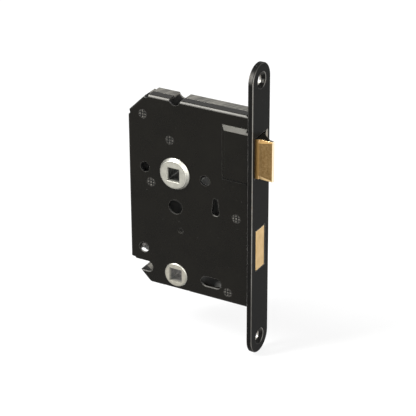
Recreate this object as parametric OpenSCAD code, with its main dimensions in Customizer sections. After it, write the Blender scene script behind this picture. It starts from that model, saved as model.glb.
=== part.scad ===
// Bathroom mortise lock: a sprung latch worked by the handle and a dead bolt worked by the privacy turn.
// X runs out of the door edge, Y through the door's thickness and Z up. The origin is the middle of
// the forend's outer face. Heights of the works are measured from the handle's spindle.

/* [Forend] */
// Length of the forend
forend_l = 174; // [160:1:240]
// Width of the forend
forend_w = 20; // [18:0.5:25]
// Thickness of the forend
forend_t = 3; // [2.6:0.1:4]
// Rounding of the forend's outer edge
forend_edge_r = 0.7; // [0.3:0.1:1]
// Height of the spindle under the forend's top end
spindle_drop = 72.5; // [65:0.5:80]
// Distance from each end of the forend to its screw hole
screw_inset = 9.6; // [8:0.1:12]
// Bore of the forend's screw holes
screw_hole_d = 5.5; // [4:0.1:5.5]
// Width of the countersinks
screw_head_d = 9.4; // [8:0.1:11]

/* [Case] */
// Distance from the forend's outer face to the spindle
backset = 50; // [50:0.5:60]
// Depth of the case behind the spindle
case_behind = 29.5; // [28:0.5:40]
// Height of the case above the spindle
case_above = 43.6; // [42:0.2:50]
// Depth of the case below the spindle
case_below = 72; // [71:0.2:76]
// Thickness of the case over its flat plates
case_t = 12.5; // [12.2:0.1:14]
// Thickness of the case's steel sheet
sheet_t = 1; // [0.8:0.05:1.1]
// Outer radius of the near tray's bends
bend_r = 1.5; // [1.2:0.1:2]
// Outer radius of the cover's bends
cover_bend_r = 0.8; // [0.6:0.1:2]
// Depth of the near tray's walls, over the plate
near_wall = 6; // [6:0.1:8]
// Gap between the two trays' rims
rim_gap = 0.1; // [0.05:0.05:0.3]
// Slanted cut across the top back corner
top_cut = 11.8; // [10:0.2:14]
// Slanted cut across the bottom back corner
bottom_cut = 12.4; // [11:0.2:14]
// Radius of the finger notch in the top wall
top_notch_r = 3.6; // [3:0.1:4]
// Radius of the corner reliefs where walls meet
relief_r = 1.6; // [1:0.1:2]
// How far the pads over the latch stand out
pad_rise = 2.3; // [2:0.1:3]
// Reach of the pads behind the forend's outer face
pad_reach = 20.4; // [20:0.2:24]
// Height of the pads, over the slopes
pad_h = 32.4; // [31:0.2:36]

/* [Holes in the case] */
// Distance between the bolt holes of a handle rose
rose_pitch = 38; // [37:0.5:40]
// Diameter of the rose bolt holes
rose_hole_d = 6; // [5:0.1:6.4]
// Diameter of the through hole under the spindle
lower_hole_d = 8.6; // [7:0.1:9]
// Depth of that hole below the spindle
lower_hole_down = 20.4; // [20:0.1:21]
// Width of the privacy rose's notch and slot
wc_slot_w = 6.8; // [6:0.1:7]
// Length of the privacy rose's slot
wc_slot_l = 12.8; // [10:0.2:14]
// Diameter of the sight hole over the detent spring
sight_hole_d = 6.2; // [5:0.1:6.6]

/* [Handle follower] */
// Width of the square sockets for handle and privacy spindles
socket_w = 8; // [7:0.1:8.2]
// Diameter of the follower's collars
collar_d = 18.6; // [17:0.1:19]
// How far the collars stand out of the plates
collar_rise = 2; // [1:0.1:2.5]
// Turn of the handle
handle_turn = 48; // [40:1:50]
// Radius at which the follower's arms push the latch
arm_r = 13.6; // [13:0.1:13.8]

/* [Latch] */
// Height of the latch
latch_h = 23.2; // [20:0.2:24]
// Thickness of the latch
latch_t = 13.4; // [12:0.1:13.8]
// How far the latch stands out
latch_out = 10.4; // [9:0.1:11]
// Height of the latch's middle above the spindle
latch_up = 20.2; // [20:0.1:21]
// Width of the latch's nose
nose_w = 1.8; // [1.5:0.1:2.4]
// Length of the lip behind the latch's nose
lip_l = 2.9; // [2:0.1:4]
// Width of the lip where the bevel starts
lip_w = 2.6; // [2.5:0.1:3.4]
// Turns of the latch spring
latch_turns = 10; // [6:1:11]
// Wire of the latch spring
latch_wire = 0.9; // [0.7:0.05:1]

/* [Dead bolt] */
// Height of the dead bolt
bolt_h = 24; // [20:0.2:26]
// Thickness of the dead bolt
bolt_t = 9.6; // [8:0.1:9.6]
// Length of the dead bolt's head
bolt_l = 24; // [22:0.2:26]
// Depth of the dead bolt's middle below the spindle
bolt_down = 36.1; // [35.6:0.1:36.4]
// Throw of the dead bolt
bolt_throw = 13; // [11:0.1:13.4]

/* [Privacy hub] */
// Distance between the handle spindle and the privacy spindle
centres = 63; // [62.6:0.1:63.2]
// Diameter of the privacy hub where it shows
wc_hub_d = 14.3; // [13.6:0.1:14.5]
// How far the privacy hub stands out of the plates
wc_hub_rise = 0.6; // [0.1:0.05:1]

/* [Pillars] */
// Diameter of the pillars between the plates
pillar_d = 5.8; // [5.2:0.1:6]
// Diameter of the pillars' staked ends
stake_d = 5; // [4:0.1:5.1]
// Width of the grooves across a staked end
stake_groove = 0.45; // [0.3:0.05:0.6]

/* [Fits] */
// Radial clearance of a turning fit
run_gap = 0.1; // [0.05:0.01:0.15]
// Clearance beside a sliding piece
side_gap = 0.3; // [0.2:0.05:0.4]
// Radial clearance of a pressed or riveted pin
pin_gap = 0.02; // [0.01:0.01:0.05]

/* [Hidden] */
$fn = 64;

black_steel = "#262624";
zinc_steel = "#a6a69f";
brass = "#c9a35a";
cast_zinc = "#c8c6bc";
spring_steel = "#8d8d8a";

hub_z = forend_l / 2 - spindle_drop;
hub_x = -backset;
wc_z = hub_z - centres;
half_t = case_t / 2;
in_y = half_t - sheet_t;
front_x = -forend_t;
back_x = -backset - case_behind;
bottom_z = hub_z - case_below;
rim_y = near_wall - half_t;
works_y = in_y - side_gap;

// The privacy rose is bolted a little above the privacy spindle
wc_rose_z = wc_z + 0.8;
wc_notch_x = hub_x - rose_pitch / 2 + 0.6;
wc_slot_x = hub_x + 22.6;
lower_hole_x = hub_x + 0.2;
// Post of the detent spring, and the sight hole over it
post_back = 22.3;
post_up = 12.8;
sight_shift = [1.6, -0.3];
post_x = hub_x - post_back;
post_z = wc_z + post_up;
sight_x = post_x + sight_shift[0];
sight_z = post_z + sight_shift[1];
// Bottom wall's window under the privacy hub
window_x = [-7, 7.9];
window_rise = 0.5;

latch_z = hub_z + latch_up;
bolt_z = hub_z - bolt_down;
pad_z = latch_z - 0.5;
top_z = hub_z + case_above;
slope_shift = sheet_t * tan(22.5);

// Pillars, as distances from the spindle: the first one is near the case's top back corner
pillars = [[9.7 - case_behind, case_above - 11.9], [-2.9, latch_up - 0.7], [-15.2, -8.4], [38.4, -18.5],
    [33.2, -65.6]];
latch_pillar = pillars[1];
spring_pillar = pillars[2];

lap = 0.05;
slot_gap_y = 0.8;
slot_gap_z = 0.4;
bolt_gap = 0.5;

// The top stud hangs under the top wall, and the wall's opening for the pads ends under the stud
stud_drop = 3.05;
stud_z = [top_z - sheet_t - stud_drop, (pad_z - pad_h / 2 + bolt_z + bolt_h / 2) / 2,
    (bolt_z - bolt_h / 2 + bottom_z + sheet_t) / 2];
stud_r = 1.75;
stud_head_r = 2.6;
stud_depth = 1.6;
opening_top = min(pad_z + pad_h / 2 - slope_shift, stud_z[0] - stud_r - 1);
opening_low = pad_z - pad_h / 2 + slope_shift;

follower_r = collar_d / 2;
flange_r = follower_r + 0.9;
flange_t = 0.7;
core_r = 8;
arm_y = [1.5, 3.9];
arm_tip_r = 2;
nose_angle = 200;
nose_r = 11.2;
nose_tip_r = 1.3;
nose_y = [1.9, 3.9];

tail_t = 2;
strip_h = 6;
bridge_t = 0.8;
bridge_x = -33;
latch_back = 8;
latch_back_cut = 1.5;
bevel_back = 4.5;
latch_travel = 2 * arm_r * sin(handle_turn / 2);
latch_rivet_x = -latch_back + 2.3;
latch_rivet_r = 1.25;
drive_pin_r = 1.75;
drive_pin_y = 4;
drive_pin_x = hub_x + arm_r * sin(handle_turn / 2) - arm_tip_r - drive_pin_r - 0.25;
drive_pin_z = hub_z + arm_r * cos(handle_turn / 4) - 0.3;
washer_t = 0.6;
latch_coil_r = 4;

bolt_tail_t = 2.4;
bolt_lap = 12;
dimple = [3.4, -34.4];
dimple_r = 1.6;
dimple_rise = 1.4;
crank_r = bolt_throw / (2 * sin(45));
crank_pin_r = 1.7;
crank_slot_gap = 0.45;
neck_r = crank_r - crank_pin_r - 0.9;
cam_half = 6.2;
cam_corner_r = 8;
lobe_y = [-2, 1.2];
lobe_r = 2.6;

post_r = 1.5;
post_end_y = -4.2;
detent_coil_r = 2.6;
detent_wire = 1;
follower_wire = 1.2;
follower_coil_r = pillar_d / 2 + 0.3 + follower_wire / 2;
follower_leg_y = -4.1;
follower_leg_l = 10;
follower_hook_l = 8;
follower_leg_z = hub_z + spring_pillar[1] + follower_coil_r;

// Plate shapes are drawn in X and Z and given their place through the thickness
module through(y0, y1) {
    translate([0, y1, 0])
        rotate([90, 0, 0])
            linear_extrude(y1 - y0)
                children();
}

module rod(x, z, r, y0, y1) {
    translate([x, y1, z])
        rotate([90, 0, 0])
            cylinder(r = r, h = y1 - y0);
}

module both_sides() {
    children();
    mirror([0, 1, 0])
        children();
}

// Outline of the case, drawn in by a distance everywhere but at the front
module outline(inset, front) {
    shrink = inset * (2 - sqrt(2));
    x0 = back_x + inset;
    z0 = bottom_z + inset;
    z1 = top_z - inset;
    a = top_cut - shrink;
    b = bottom_cut - shrink;
    polygon([[front, z0], [front, z1], [x0 + a, z1], [x0, z1 - a], [x0, z0 + b], [x0 + b, z0]]);
}

// Planes that round one outer edge: its outward direction, and a point on the edge
module bend(angle, x, z, r) {
    reach = 2 * forend_l;
    translate([x - r * cos(angle), r, z - r * sin(angle)])
        rotate([0, -angle, 0])
            for (tilt = [18, 36, 54, 72])
                rotate([0, 0, -tilt])
                    translate([r, -reach / 2, -reach / 2])
                        cube([reach, reach, reach]);
}

// Slot that is open to the back of the case
module back_slot() {
    r = wc_slot_w / 2;
    translate([wc_notch_x, wc_rose_z])
        circle(r);
    translate([back_x - 1, wc_rose_z - r])
        square([wc_notch_x - back_x + 1, 2 * r]);
}

module slot_hole(x, z, length, width) {
    for (side = [-1, 1])
        translate([x + side * (length - width) / 2, z])
            circle(width / 2);
    translate([x - (length - width) / 2, z - width / 2])
        square([length - width, width]);
}

// Raised field over the latch: drawn from a base plane outward, with slopes of 45 degrees
module pad(base, rise, grow) {
    reach = pad_reach - grow;
    half_h = pad_h / 2 - grow;
    intersection() {
        translate([0, 0, pad_z - half_h])
            linear_extrude(2 * half_h)
                polygon([[-reach, base], [-reach + rise, base - rise], [0, base - rise], [0, base]]);
        translate([-reach, 0, 0])
            rotate([90, 0, 90])
                linear_extrude(reach)
                    polygon([[base, pad_z - half_h], [base - rise, pad_z - half_h + rise],
                        [base - rise, pad_z + half_h - rise], [base, pad_z + half_h]]);
    }
}

// One tray, with its plate's outer face at Y = 0 and its walls towards +Y
module tray(depth, cavity_front, r) {
    difference() {
        union() {
            difference() {
                through(0, depth)
                    outline(0, front_x);
                bend(90, 0, top_z, r);
                bend(270, 0, bottom_z, r);
                bend(180, back_x, 0, r);
                bend(135, back_x + top_cut, top_z, r);
                bend(225, back_x + bottom_cut, bottom_z, r);
            }
            intersection() {
                pad(0, pad_rise, 0);
                translate([-backset, -case_t, bottom_z])
                    cube([backset - forend_t, 2 * case_t, forend_l]);
            }
        }
        through(sheet_t, depth + 1)
            outline(sheet_t, cavity_front);
        pad(sheet_t + lap, pad_rise + lap, slope_shift - lap);
        through(-1, depth + 1) {
            back_slot();
            translate([hub_x + 0.3, top_z + 0.5])
                circle(top_notch_r);
            for (side = [-1, 1])
                translate([hub_x + side * rose_pitch / 2, hub_z])
                    circle(rose_hole_d / 2);
            translate([lower_hole_x, hub_z - lower_hole_down])
                circle(lower_hole_d / 2);
            slot_hole(wc_slot_x, wc_rose_z, wc_slot_l, wc_slot_w - 0.4);
            translate([hub_x, hub_z])
                circle(follower_r + run_gap);
            translate([hub_x, wc_z])
                circle(wc_hub_d / 2 + run_gap);
            for (p = pillars)
                translate([hub_x + p[0], hub_z + p[1]])
                    circle(stake_d / 2 + pin_gap);
            reliefs();
        }
        // The bottom wall is left out under the privacy hub
        translate([hub_x + window_x[0], -1, bottom_z - 1])
            cube([window_x[1] - window_x[0], depth + 2, 1 + window_rise]);
        translate([hub_x + window_x[0], sheet_t, bottom_z - 1])
            cube([window_x[1] - window_x[0], depth, sheet_t + 1.1]);
    }
}

// Corner reliefs of both trays
module reliefs() {
    translate([back_x + top_cut, top_z - 0.4])
        circle(relief_r);
    translate([back_x, top_z - top_cut - 0.8])
        circle(relief_r);
    translate([back_x + bottom_cut, bottom_z])
        circle(relief_r / 2 + 0.1);
    translate([front_x - 2.2, top_z + 0.2])
        circle(relief_r / 2);
    for (x = window_x)
        translate([hub_x + x, bottom_z])
            circle(relief_r / 2);
    // Slanted end of the back wall above the privacy rose's notch
    translate([back_x, wc_rose_z + wc_slot_w / 2])
        polygon([[-1, 1.1], [2.7, 0.85], [3.6, -0.1], [-1, -0.1]]);
}

module case_body() {
    flange_top = top_z - sheet_t - 0.1;
    flange_bottom = bottom_z + sheet_t + 0.1;
    color(black_steel)
        difference() {
            union() {
                translate([0, -half_t, 0])
                    tray(near_wall, front_x - sheet_t, bend_r);
                // Front wall behind the forend
                translate([front_x - sheet_t, -in_y - sheet_t / 2, flange_bottom])
                    cube([sheet_t, 2 * in_y + sheet_t / 2 - 0.1, flange_top - flange_bottom]);
                // Half-pierced stud that guides the dead bolt's tail
                rod(hub_x + dimple[0], hub_z + dimple[1], dimple_r, -in_y - sheet_t / 2, -in_y + dimple_rise);
            }
            // The front wall is open where latch and bolt pass
            translate([0, -half_t, 0])
                pad(sheet_t + lap, pad_rise + lap, slope_shift - lap);
            translate([front_x - 2 * sheet_t, -in_y, opening_low])
                cube([3 * sheet_t, 3 * in_y, opening_top - opening_low]);
            translate([front_x - 2 * sheet_t, -in_y, bolt_z - bolt_h / 2 - bolt_gap])
                cube([3 * sheet_t, 3 * in_y, bolt_h + 2 * bolt_gap]);
            // Dent behind the half-pierced stud
            translate([hub_x + dimple[0], -half_t - 0.01, hub_z + dimple[1]])
                rotate([-90, 0, 0])
                    cylinder(r1 = dimple_r, r2 = dimple_r * 0.75, h = 0.7);
            through(-half_t - 1, -in_y + 0.5) {
                translate([sight_x, sight_z])
                    circle(sight_hole_d / 2);
                tapered_slot();
            }
            // Small round reliefs where the pad meets the forend
            for (side = [-1, 1])
                rod(front_x - 1.3, pad_z + side * (pad_h / 2 - 0.6), 0.9, -half_t - pad_rise, -in_y + 0.5);
            for (z = stud_z)
                translate([front_x - 2 * sheet_t, 0, z])
                    rotate([0, 90, 0])
                        cylinder(r = stud_r + pin_gap, h = 3 * sheet_t);
            // Hole in the back wall for the hooked end of the follower spring
            translate([back_x - 1, follower_leg_y, follower_leg_z])
                rotate([0, 90, 0])
                    cylinder(r = follower_wire / 2 + 0.3, h = sheet_t + 2);
        }
}

// Upright slot that widens downward and ends in a half round
module tapered_slot() {
    x = hub_x + 25.5;
    top = hub_z - 9.6;
    round_r = 2.3;
    low = hub_z - 20.2 + round_r;
    polygon([[x - 1.4, top], [x + 1.4, top], [x + round_r, low], [x - round_r, low]]);
    translate([x, low])
        circle(round_r);
}

module case_cover() {
    color(zinc_steel)
        translate([0, half_t, 0])
            mirror([0, 1, 0])
                tray(case_t - near_wall - rim_gap, 1, cover_bend_r);
}

// Half of the forend's section: across its width, then out along X
function forend_half() = concat(
    [[0, -forend_t], [forend_w / 2 - 0.3, -forend_t], [forend_w / 2, -forend_t + 0.3]],
    [for (a = [0:15:90])
        [forend_w / 2 - forend_edge_r * (1 - cos(a)), -forend_edge_r * (1 - sin(a))]],
    [[0, 0]]);

module forend() {
    straight = forend_l - forend_w;
    half = forend_half();
    color(black_steel)
        difference() {
            union() {
                translate([0, 0, -straight / 2])
                    linear_extrude(straight)
                        polygon(concat([for (p = half) [p[1], p[0]]],
                            [for (i = [len(half) - 2:-1:1]) [half[i][1], -half[i][0]]]));
                for (side = [-1, 1])
                    translate([0, 0, side * straight / 2])
                        rotate([0, 90, 0])
                            rotate([0, 0, side * 90])
                                rotate_extrude(angle = 180)
                                    polygon(half);
            }
            for (side = [-1, 1])
                translate([0, 0, side * (forend_l / 2 - screw_inset)])
                    rotate([0, -90, 0]) {
                        translate([0, 0, -1])
                            cylinder(d = screw_hole_d, h = forend_t + 2);
                        translate([0, 0, -0.01])
                            cylinder(d1 = screw_head_d, d2 = screw_hole_d, h = (screw_head_d - screw_hole_d) / 2);
                    }
            translate([-2 * forend_t, -latch_t / 2 - slot_gap_y, latch_z - latch_h / 2 - slot_gap_z])
                cube([3 * forend_t, latch_t + 2 * slot_gap_y, latch_h + 2 * slot_gap_z]);
            translate([-2 * forend_t, -bolt_t / 2 - bolt_gap, bolt_z - bolt_h / 2 - slot_gap_z])
                cube([3 * forend_t, bolt_t + 2 * bolt_gap, bolt_h + 2 * slot_gap_z]);
            for (z = stud_z)
                translate([front_x - 1, 0, z])
                    rotate([0, 90, 0])
                        cylinder(r = stud_r + pin_gap, h = stud_depth + 1);
        }
}

module forend_studs() {
    color(zinc_steel)
        for (z = stud_z)
            translate([front_x, 0, z])
                rotate([0, 90, 0]) {
                    translate([0, 0, -sheet_t - 0.01])
                        cylinder(r = stud_r, h = sheet_t + stud_depth);
                    translate([0, 0, -sheet_t - 1.2])
                        cylinder(r1 = stud_head_r - 0.4, r2 = stud_head_r, h = 1.2);
                }
}

// Pillars between the plates, with cross-grooved ends where they are staked over
module case_pillars() {
    pitch = stake_d / 3;
    color("#30302e")
        for (p = pillars)
            translate([hub_x + p[0], 0, hub_z + p[1]])
                difference() {
                    union() {
                        rod(0, 0, pillar_d / 2, -in_y, in_y);
                        rod(0, 0, stake_d / 2, -half_t - 0.05, half_t + 0.05);
                    }
                    for (side = [-1, 1], k = [-0.5, 0.5], turn = [0, 90])
                        rotate([0, turn, 0])
                            translate([k * pitch, side * half_t, 0])
                                cube([stake_groove, 0.6, stake_d + 1], center = true);
                }
}

// Section of a collar, from the axis outward: a tapered flank, then a rounded edge
function collar_half(r, y_in, y_out, flank, edge) =
    let (rim = r - flank[0])
    concat([[0, y_in], [r, y_in], [r, y_out - flank[1]]],
        [for (a = [0:22.5:90]) [rim - edge * (1 - cos(a)), y_out - edge * (1 - sin(a))]],
        [[0, y_out]]);

module collars(r, y_in, y_out, flank, edge) {
    for (side = [-1, 1])
        rotate([side * 90, 0, 0])
            rotate_extrude()
                polygon(collar_half(r, y_in, y_out, flank, edge));
}

module socket() {
    translate([-socket_w / 2, -case_t, -socket_w / 2])
        cube([socket_w, 2 * case_t, socket_w]);
}

// Arm drawn upright from the hub's middle
module arm_shape() {
    polygon([[-5, 6.5], [-arm_tip_r, arm_r - 2.4], [-arm_tip_r, arm_r], [arm_tip_r, arm_r],
        [arm_tip_r, arm_r - 2.4], [5, 6.5]]);
    translate([0, arm_r])
        circle(arm_tip_r);
}

module handle_follower() {
    color(cast_zinc)
        translate([hub_x, 0, hub_z])
            difference() {
                union() {
                    collars(follower_r, works_y - lap, half_t + collar_rise, [1, collar_rise], 0.5);
                    rod(0, 0, core_r, -works_y, works_y);
                    both_sides() {
                        rod(0, 0, flange_r, works_y - flange_t, works_y);
                        through(arm_y[0], arm_y[1])
                            rotate(-handle_turn / 2)
                                arm_shape();
                    }
                    // Nose that bears on the return spring
                    through(nose_y[0], nose_y[1]) {
                        rotate(nose_angle)
                            polygon([[6, -4], [nose_r, -nose_tip_r], [nose_r, nose_tip_r], [6, 4]]);
                        rotate(nose_angle)
                            translate([nose_r, 0])
                                circle(nose_tip_r);
                    }
                }
                socket();
            }
}

function unit(v) = v / norm(v);

// Round wire of six sides along a run of points; axis is the line that the turns go round
module wire(path, r, axis) {
    sides = 6;
    n = len(path);
    dirs = [for (i = [0:n - 1]) unit(path[min(i + 1, n - 1)] - path[max(i - 1, 0)])];
    points = [for (i = [0:n - 1])
        let (u = unit(cross(dirs[i], axis)), v = cross(u, dirs[i]))
        for (k = [0:sides - 1])
            path[i] + r * (cos(360 * k / sides) * u + sin(360 * k / sides) * v)];
    skin = [for (i = [0:n - 2], k = [0:sides - 1])
        let (a = i * sides + k, b = i * sides + (k + 1) % sides)
        each [[a, a + sides, b], [b, a + sides, b + sides]]];
    last = (n - 1) * sides;
    caps = [for (k = [1:sides - 2]) each [[0, k, k + 1], [last, last + k + 1, last + k]]];
    polyhedron(points, concat(skin, caps));
}

// Turns about a Y axis at x, z: clockwise seen from the near side, 8 steps to a turn
function turns_y(x, z, r, start, sweep, y0, y1) =
    let (steps = round(sweep / 45))
    [for (i = [0:steps])
        let (a = start - sweep * i / steps)
        [x + r * cos(a), y0 + (y1 - y0) * i / steps, z + r * sin(a)]];

// Least gap between points of a path that lie over half a turn apart, less the wire
function self_gap(path, wire_d) =
    min([for (i = [0:len(path) - 1], j = [i + 5:1:len(path) - 1]) norm(path[i] - path[j])]) - wire_d;

// Hairpin return spring on its pillar: one leg hooks in the back wall, the other is under the nose
module follower_spring() {
    x = hub_x + spring_pillar[0];
    z = hub_z + spring_pillar[1];
    y = (nose_y[0] + nose_y[1]) / 2;
    nose = [nose_r * cos(nose_angle) - spring_pillar[0], nose_r * sin(nose_angle) - spring_pillar[1]];
    reach = follower_coil_r + nose_tip_r + follower_wire / 2 + 0.2;
    leave = atan2(nose[1], nose[0]) + acos(reach / norm(nose));
    end = [x + follower_coil_r * cos(leave), y, z + follower_coil_r * sin(leave)];
    path = concat(
        [for (x0 = [back_x + 0.4, x - follower_hook_l, x - follower_wire]) [x0, follower_leg_y, follower_leg_z]],
        turns_y(x, z, follower_coil_r, 90, 4 * 360 + 90 - leave, follower_leg_y, y),
        [for (t = [0.15, 0.5, 1]) end + t * follower_leg_l * [sin(leave), 0, -cos(leave)]]);
    echo(follower_spring_gap = self_gap(path, follower_wire));
    color(spring_steel)
        wire(path, follower_wire / 2, [0, 1, 0]);
}

// Post riveted in the far plate, seen end-on through the sight hole
module detent_spring_post() {
    color(zinc_steel) {
        rod(post_x, post_z, post_r, post_end_y + 0.5, in_y);
        translate([post_x, post_end_y + 0.5, post_z])
            rotate([90, 0, 0])
                cylinder(r1 = post_r, r2 = post_r - 0.5, h = 0.5);
    }
}

// Detent spring on the post: its long leg ends on the flat of the privacy hub's cam
module detent_spring() {
    y0 = 0.6;
    y1 = works_y - 0.7;
    reach = [hub_x + cam_half - 1.7 - post_x, wc_z + cam_half + detent_wire / 2 + 0.25 - post_z];
    drop = asin(detent_coil_r / norm(reach)) - atan2(reach[1], reach[0]);
    tip = [post_x + reach[0], y1, post_z + reach[1]];
    start = [post_x + detent_coil_r * sin(drop), y1, post_z + detent_coil_r * cos(drop)];
    path = concat(
        [for (x0 = [back_x + sheet_t + side_gap, post_x - 1]) [x0, y0, post_z + detent_coil_r]],
        turns_y(post_x, post_z, detent_coil_r, 90, 2 * 360 + drop, y0, y1),
        [for (t = [0.1, 0.5, 1]) start + t * (tip - start)]);
    echo(detent_spring_gap = self_gap(path, detent_wire));
    color(spring_steel)
        wire(path, detent_wire / 2, [0, 1, 0]);
}

// Wedge that is cut from the latch's near edges: widest near the forend, fading towards the nose
module latch_edge_cut() {
    wide = 2.2;
    narrow = 0.6;
    slant = 0.3;
    x0 = 2;
    over = 1;
    z = latch_h / 2;
    y = -latch_t / 2;
    polyhedron(
        [for (end = [[x0, wide], [latch_out + 0.2, narrow]])
            each [[end[0], y - over * slant, z - end[1] - over], [end[0], y + (end[1] + over) * slant, z + over],
                [end[0], y - over * slant, z + over]]],
        [[0, 1, 2], [3, 5, 4], [0, 3, 4, 1], [1, 4, 5, 2], [2, 5, 3, 0]]);
}

module latch_head() {
    half = latch_t / 2;
    nose_edge = 0.5;
    color(brass)
        translate([0, 0, latch_z])
            difference() {
                translate([0, 0, -latch_h / 2])
                    linear_extrude(latch_h)
                        polygon([[-latch_back + latch_back_cut, -half], [latch_out - nose_edge, -half],
                            [latch_out, -half + nose_edge], [latch_out, -half + nose_w],
                            [latch_out - lip_l, -half + lip_w], [-bevel_back, half],
                            [-latch_back + latch_back_cut, half],
                            [-latch_back, half - latch_back_cut], [-latch_back, -half + latch_back_cut]]);
                latch_edge_cut();
                mirror([0, 0, 1])
                    latch_edge_cut();
                // Slot for the tail, and its cross rivet
                translate([-latch_back - 1, -tail_t / 2 - lap, -strip_h / 2 - lap])
                    cube([latch_back - 0.9, tail_t + 2 * lap, strip_h + 2 * lap]);
                rod(latch_rivet_x, 0, latch_rivet_r + pin_gap, -half - 1, half + 1);
            }
}

module latch_rivet() {
    color(zinc_steel)
        rod(latch_rivet_x, latch_z, latch_rivet_r, -latch_t / 2 + 0.6, latch_t / 2 - 0.6);
}

// Strip from the latch, widened behind the bridge to ride on a pillar and carry the drive pin
module latch_tail() {
    wide_x = bridge_x - 2.6;
    rear_x = hub_x - 10.2;
    low = hub_z + 10.2;
    high = hub_z + latch_pillar[1] + 6.1;
    slot_r = pillar_d / 2 + side_gap;
    slot_x = hub_x + latch_pillar[0];
    color(zinc_steel)
        difference() {
            through(-tail_t / 2, tail_t / 2)
                polygon([[rear_x, low], [rear_x, high], [wide_x, high], [wide_x, latch_z + strip_h / 2],
                    [-2.1, latch_z + strip_h / 2], [-2.1, latch_z - strip_h / 2],
                    [wide_x, latch_z - strip_h / 2], [wide_x, low + 4], [wide_x - 4, low]]);
            through(-tail_t, tail_t)
                slot_hole(slot_x + latch_travel / 2, hub_z + latch_pillar[1], latch_travel + 2 * slot_r,
                    2 * slot_r);
            rod(drive_pin_x, drive_pin_z, drive_pin_r + pin_gap, -tail_t, tail_t);
            rod(latch_rivet_x, latch_z, latch_rivet_r + pin_gap, -tail_t, tail_t);
        }
}

module latch_drive_pin() {
    color(zinc_steel)
        rod(drive_pin_x, drive_pin_z, drive_pin_r, -drive_pin_y, drive_pin_y);
}

module latch_spring() {
    x0 = bridge_x + washer_t + latch_wire / 2 + 0.1;
    x1 = -latch_back - latch_wire / 2 - 0.1;
    steps = 8 * latch_turns;
    path = [for (i = [0:steps])
        [x0 + (x1 - x0) * i / steps, latch_coil_r * cos(45 * i), latch_z + latch_coil_r * sin(45 * i)]];
    echo(latch_spring_gap = self_gap(path, latch_wire));
    color(spring_steel)
        wire(path, latch_wire / 2, [1, 0, 0]);
}

module latch_spring_washer() {
    color(zinc_steel)
        translate([bridge_x, 0, latch_z])
            rotate([0, 90, 0])
                difference() {
                    cylinder(r = latch_coil_r + 0.7, h = washer_t - 0.02);
                    translate([-strip_h / 2 - 0.2, -tail_t / 2 - 0.2, -1])
                        cube([strip_h + 0.4, tail_t + 0.4, 3]);
                }
}

// Plate held on two pillars against the far plate, with a bent wall that the latch spring pushes on
module latch_bridge() {
    y0 = in_y - bridge_t;
    wall_half = latch_coil_r + 1.6;
    wall_low = latch_z - wall_half;
    wall_high = latch_z + wall_half;
    rim = pillar_d / 2 + 1.6;
    p0 = pillars[0];
    p1 = latch_pillar;
    color(zinc_steel)
        difference() {
            union() {
                through(y0, in_y)
                    translate([hub_x, hub_z])
                        polygon([[bridge_x - hub_x, wall_low - hub_z], [bridge_x - hub_x, wall_high - hub_z],
                            [p1[0], wall_high - hub_z], [p0[0] + 3.6, p0[1] + rim], [p0[0] - 1.4, p0[1] + rim],
                            [p0[0] - rim, p0[1] + 1.3], [p0[0] - rim, p0[1] - 3.5], [p1[0] - rim, p1[1] - rim + 1],
                            [p1[0], wall_low - hub_z]]);
                translate([bridge_x - bridge_t, -in_y + side_gap + 0.5, wall_low])
                    cube([bridge_t, 2 * in_y - side_gap - 0.5 - lap, wall_high - wall_low]);
            }
            for (k = [0, 1])
                rod(hub_x + pillars[k][0], hub_z + pillars[k][1], pillar_d / 2 + 0.05, 0, case_t);
            translate([bridge_x - 3, -tail_t / 2 - side_gap, latch_z - strip_h / 2 - side_gap])
                cube([6, tail_t + 2 * side_gap, strip_h + 2 * side_gap]);
        }
}

module deadbolt_head() {
    edge = 0.5;
    half = bolt_t / 2;
    color(brass)
        difference() {
            translate([0, 0, bolt_z - bolt_h / 2])
                linear_extrude(bolt_h)
                    polygon([[-bolt_l, -half], [-edge, -half], [0, -half + edge], [0, half - edge],
                        [-edge, half], [-bolt_l, half]]);
            translate([-bolt_l - 1, -half - 1, bolt_z - bolt_h])
                cube([bolt_lap + 1, bolt_tail_t + 1 + lap, 2 * bolt_h]);
            bolt_rivets(1.5 + pin_gap, half + 1);
        }
}

module bolt_rivets(r, y) {
    for (side = [-1, 1])
        rod(-bolt_l + bolt_lap / 2, bolt_z + side * 4.5, r, -y, y);
}

module deadbolt_rivets() {
    color(zinc_steel)
        bolt_rivets(1.5, bolt_t / 2 - 0.05);
}

// Tail on the near side of the bolt: it rides on the plate's stud and the hub's pin stands in its fork
module deadbolt_tail() {
    y0 = -bolt_t / 2;
    fork_x = hub_x - bolt_throw / 2;
    slot_r = dimple_r + side_gap;
    guide_x = hub_x + dimple[0];
    pin_slot_r = crank_pin_r + crank_slot_gap;
    rear_x = guide_x - bolt_throw - slot_r - 2;
    color(zinc_steel)
        difference() {
            through(y0, y0 + bolt_tail_t)
                difference() {
                    union() {
                        translate([rear_x, bolt_z - 6.5])
                            square([-bolt_l + bolt_lap - lap - rear_x, 13.5]);
                        translate([fork_x - pin_slot_r - 3, wc_z + neck_r + 0.4])
                            square([2 * pin_slot_r + 6, bolt_z - wc_z - neck_r - 6]);
                    }
                    translate([fork_x - pin_slot_r, wc_z])
                        square([2 * pin_slot_r, crank_r + crank_pin_r + 0.6]);
                    slot_hole(guide_x - bolt_throw / 2, hub_z + dimple[1], bolt_throw + 2 * slot_r, 2 * slot_r);
                }
            bolt_rivets(1.5 + pin_gap, bolt_t);
        }
}

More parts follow.
